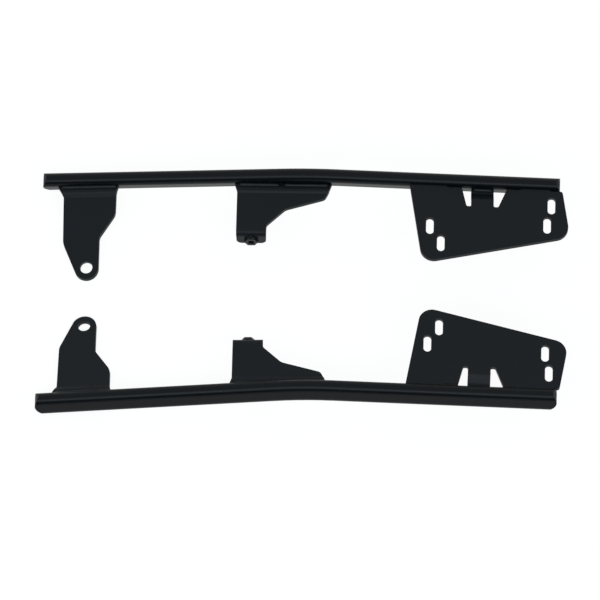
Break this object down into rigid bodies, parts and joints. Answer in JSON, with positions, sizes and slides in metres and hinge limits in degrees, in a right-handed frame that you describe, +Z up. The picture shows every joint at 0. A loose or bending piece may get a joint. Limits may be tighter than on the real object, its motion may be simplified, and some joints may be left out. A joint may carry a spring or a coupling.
{
  "type": "top box mount rails",
  "caption": "Pair of mirrored steel side rails that carry a motorbike top box, each a bent oval tube with welded brackets and a slotted plate.",
  "frame": {"origin": "midway between the two front outer slots, on the rear plates' top face, in the plane midway between the rails", "axes": "+X to the back of the bike along the rear part of the tubes, +Y to the bike's right, +Z up, square to the rear plates"},
  "size_m": [0.4438, 0.2258, 0.0583],
  "materials": {
    "black_powder_coat": "satin black powder coat",
    "coated_end": "satin black, coated with the tube",
    "coated_nut": "black coated steel",
    "coated_weld": "powder coated weld bead"
  },
  "bodies": {
    "root": {"left_tube": "black_powder_coat", "left_front_plug": "coated_end", "left_rear_plug": "coated_end", "left_front_bracket": "black_powder_coat", "left_middle_bracket": "black_powder_coat", "left_rear_plate": "black_powder_coat", "left_nut": "coated_nut", "left_front_weld": "coated_weld", "left_middle_weld": "coated_weld", "left_rear_weld": "coated_weld", "left_nut_weld": "coated_weld", "right_tube": "black_powder_coat", "right_front_plug": "coated_end", "right_rear_plug": "coated_end", "right_front_bracket": "black_powder_coat", "right_middle_bracket": "black_powder_coat", "right_rear_plate": "black_powder_coat", "right_nut": "coated_nut", "right_front_weld": "coated_weld", "right_middle_weld": "coated_weld", "right_rear_weld": "coated_weld", "right_nut_weld": "coated_weld"}
  },
  "joints": []
}
